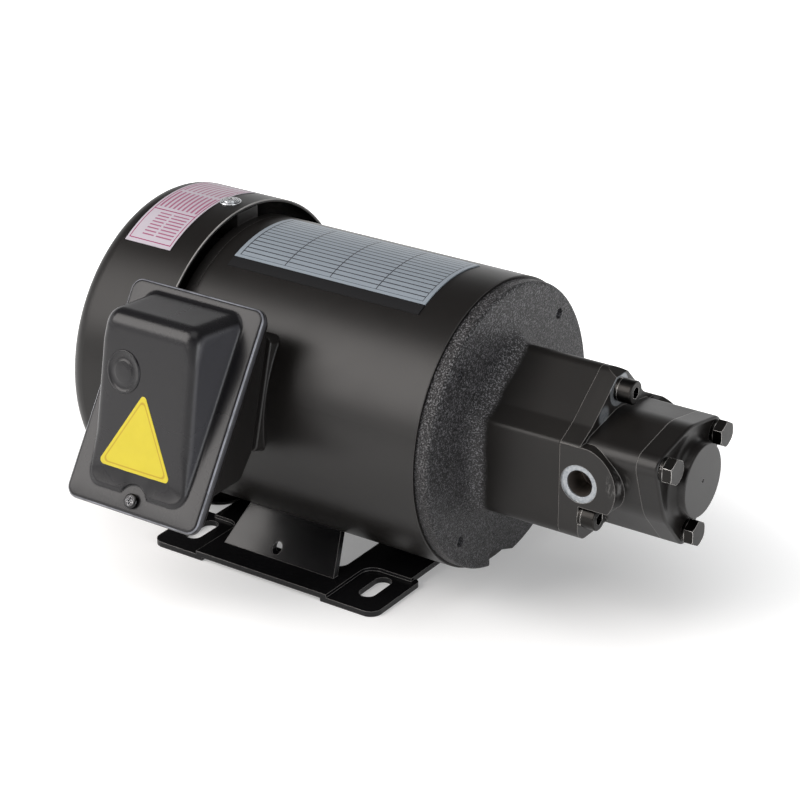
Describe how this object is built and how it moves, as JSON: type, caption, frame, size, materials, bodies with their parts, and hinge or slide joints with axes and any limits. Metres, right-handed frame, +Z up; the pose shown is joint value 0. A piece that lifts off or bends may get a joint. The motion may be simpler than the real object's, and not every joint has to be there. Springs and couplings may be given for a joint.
{
  "type": "trochoid pump",
  "caption": "Trochoid (gerotor) oil pump flange-mounted on a foot-mounted, fan-cooled electric motor with a side terminal box.",
  "frame": {"origin": "on the floor, in the middle of the four foot slots", "axes": "+Z up out of the foot; the shaft runs along Y, with the pump end towards -Y and the fan cover towards +Y; the terminal box is on the -X side"},
  "size_m": [0.2413, 0.3542, 0.1839],
  "materials": {
    "body_paint": "satin black enamel",
    "pump_paint": "satin black enamel on castings",
    "cast_paint": "black enamel on a rough sand casting",
    "foot_paint": "gloss black enamel",
    "box_plastic": "satin moulded plastic",
    "black_steel": "black oxide steel",
    "zinc_steel": "bright zinc plate",
    "machined_steel": "turned steel",
    "bearing_steel": "ground bearing steel",
    "sintered_steel": "sintered steel",
    "copper_wire": "lacquered copper wire",
    "cast_aluminium": "cast",
    "plate_aluminium": "printed foil",
    "label_film": "printed film",
    "fan_plastic": "moulded",
    "block_plastic": "moulded phenolic",
    "brass": "machined",
    "rubber": "moulded",
    "bronze": "sintered bronze"
  },
  "bodies": {
    "housing": {"body_bush": "bronze", "body_lock_washers": "black_steel", "body_screws": "black_steel", "cable_grommet": "rubber", "cover_bolts": "black_steel", "cover_bush": "bronze", "cover_label": "label_film", "cover_lock_washers": "black_steel", "cover_seal_ring": "rubber", "fan_cover": "body_paint", "fan_cover_screws": "zinc_steel", "foot_plate": "foot_paint", "frame_shell": "body_paint", "front_bearing_outer_ring": "bearing_steel", "front_bracket": "cast_paint", "nameplate": "plate_aluminium", "pump_body": "pump_paint", "pump_cover": "pump_paint", "rear_bearing_outer_ring": "bearing_steel", "rear_bracket": "body_paint", "shaft_seal": "rubber", "stator_core": "machined_steel", "stator_windings": "copper_wire", "terminal_block": "block_plastic", "terminal_box_base": "body_paint", "terminal_box_cover": "box_plastic", "terminal_box_gasket": "rubber", "terminal_box_seat": "body_paint", "terminal_cover_screw": "zinc_steel", "terminal_studs": "brass", "through_bolts": "zinc_steel", "wave_washer": "zinc_steel"},
    "drive_shaft": {"motor_shaft": "machined_steel", "rotor_core": "machined_steel", "rotor_cage": "cast_aluminium", "cooling_fan": "fan_plastic", "fan_clip": "zinc_steel", "front_bearing_inner_ring": "bearing_steel", "rear_bearing_inner_ring": "bearing_steel", "shaft_coupling": "machined_steel", "coupling_key": "zinc_steel", "pump_shaft": "machined_steel", "rotor_key": "zinc_steel", "inner_rotor": "sintered_steel"},
    "outer_rotor": {"outer_rotor": "sintered_steel"},
    "front_ball_set": {"front_bearing_balls": "bearing_steel", "front_bearing_cage": "bearing_steel"},
    "rear_ball_set": {"rear_bearing_balls": "bearing_steel", "rear_bearing_cage": "bearing_steel"}
  },
  "joints": [
    {"name": "shaft_spin", "type": "hinge", "parent": "housing", "child": "drive_shaft", "pos_m": [0, -0.111, 0.092], "axis": [0, -1, 0], "continuous": true},
    {"name": "outer_rotor_spin", "type": "hinge", "parent": "housing", "child": "outer_rotor", "pos_m": [0, -0.198, 0.09475], "axis": [0, -1, 0], "continuous": true},
    {"name": "front_balls_spin", "type": "hinge", "parent": "housing", "child": "front_ball_set", "pos_m": [0, -0.111, 0.092], "axis": [0, -1, 0], "continuous": true},
    {"name": "rear_balls_spin", "type": "hinge", "parent": "housing", "child": "rear_ball_set", "pos_m": [0, -0.111, 0.092], "axis": [0, -1, 0], "continuous": true}
  ],
  "couplings": [
    {"joint": "outer_rotor_spin", "follows": "shaft_spin", "ratio": 0.8},
    {"joint": "front_balls_spin", "follows": "shaft_spin", "ratio": 0.38209},
    {"joint": "rear_balls_spin", "follows": "shaft_spin", "ratio": 0.38246}
  ]
}
